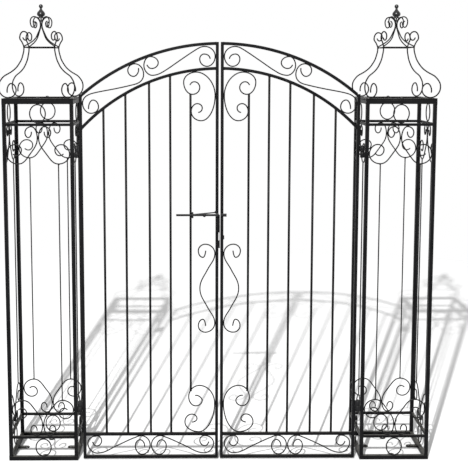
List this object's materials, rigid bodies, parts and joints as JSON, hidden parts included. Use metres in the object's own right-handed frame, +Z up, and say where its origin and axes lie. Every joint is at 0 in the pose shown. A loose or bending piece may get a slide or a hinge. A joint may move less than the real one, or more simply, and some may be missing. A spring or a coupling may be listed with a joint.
{
  "type": "garden gate",
  "caption": "Ornamental steel garden gate: lattice pillars with pagoda caps and arched double leaves with scrollwork, hung on pin hinges and locked by a sliding bolt.",
  "frame": {"origin": "on the ground in the middle of the gateway, midway between the pillars and at mid depth of the pillars", "axes": "+X to the right as seen from the front, -Y towards the front, +Z up"},
  "size_m": [1.2364, 0.2164, 1.317],
  "materials": {
    "frame_coat": "black powder coat on square steel tube, satin",
    "leaf_coat": "black powder coat on square steel tube, satin",
    "bar_coat": "black powder coat on round steel rod, satin",
    "scroll_coat": "black powder coat on bent steel wire, satin",
    "cap_coat": "black powder coat on bent steel wire, satin",
    "tab_coat": "black powder coat on pressed steel strip, satin",
    "finial_coat": "black powder coat on a turned steel finial, satin",
    "hinge_metal": "black powder coat, rubbed a little at the running faces",
    "latch_metal": "black powder coat, rubbed a little where the bolt slides",
    "screw_metal": "black passivated steel screw heads"
  },
  "bodies": {
    "pillars": {"left_posts": "frame_coat", "left_base_frame": "frame_coat", "left_top_frame": "frame_coat", "left_lower_rails": "frame_coat", "left_upper_rails": "frame_coat", "left_panel_rings": "scroll_coat", "left_lower_scrolls": "scroll_coat", "left_upper_scrolls": "scroll_coat", "left_panel_rods": "bar_coat", "left_anchor_tabs": "tab_coat", "left_cap_bars": "frame_coat", "left_cap_ribs": "cap_coat", "left_cap_ring": "cap_coat", "left_spire_scrolls": "cap_coat", "left_finial": "finial_coat", "left_post_knuckles": "hinge_metal", "right_posts": "frame_coat", "right_base_frame": "frame_coat", "right_top_frame": "frame_coat", "right_lower_rails": "frame_coat", "right_upper_rails": "frame_coat", "right_panel_rings": "scroll_coat", "right_lower_scrolls": "scroll_coat", "right_upper_scrolls": "scroll_coat", "right_panel_rods": "bar_coat", "right_anchor_tabs": "tab_coat", "right_cap_bars": "frame_coat", "right_cap_ribs": "cap_coat", "right_cap_ring": "cap_coat", "right_spire_scrolls": "cap_coat", "right_finial": "finial_coat", "right_post_knuckles": "hinge_metal", "cap_screws": "screw_metal", "hinge_pins": "hinge_metal"},
    "left_leaf": {"left_leaf_outer_stile": "leaf_coat", "left_leaf_meeting_stile": "leaf_coat", "left_leaf_outer_arch": "leaf_coat", "left_leaf_inner_arch": "leaf_coat", "left_leaf_rails": "leaf_coat", "left_leaf_bars": "bar_coat", "left_leaf_arch_scrolls": "scroll_coat", "left_leaf_stile_scrolls": "scroll_coat", "left_leaf_band_scrolls": "scroll_coat", "left_leaf_knuckles": "hinge_metal", "bolt_guides": "latch_metal", "meeting_strip": "latch_metal"},
    "right_leaf": {"right_leaf_outer_stile": "leaf_coat", "right_leaf_meeting_stile": "leaf_coat", "right_leaf_outer_arch": "leaf_coat", "right_leaf_inner_arch": "leaf_coat", "right_leaf_rails": "leaf_coat", "right_leaf_bars": "bar_coat", "right_leaf_arch_scrolls": "scroll_coat", "right_leaf_stile_scrolls": "scroll_coat", "right_leaf_band_scrolls": "scroll_coat", "right_leaf_knuckles": "hinge_metal", "bolt_keeper": "latch_metal", "padlock_lug": "latch_metal"},
    "bolt": {"bolt": "latch_metal"}
  },
  "joints": [
    {"name": "left_leaf_swing", "type": "hinge", "parent": "pillars", "child": "left_leaf", "pos_m": [-0.4025, -0.094, 0.53], "axis": [0, 0, -1], "range_deg": [0, 100]},
    {"name": "right_leaf_swing", "type": "hinge", "parent": "pillars", "child": "right_leaf", "pos_m": [0.4025, -0.094, 0.53], "axis": [0, 0, 1], "range_deg": [0, 100]},
    {"name": "bolt_slide", "type": "slide", "parent": "left_leaf", "child": "bolt", "axis": [1, 0, 0], "range_m": [0, 0.021]}
  ]
}
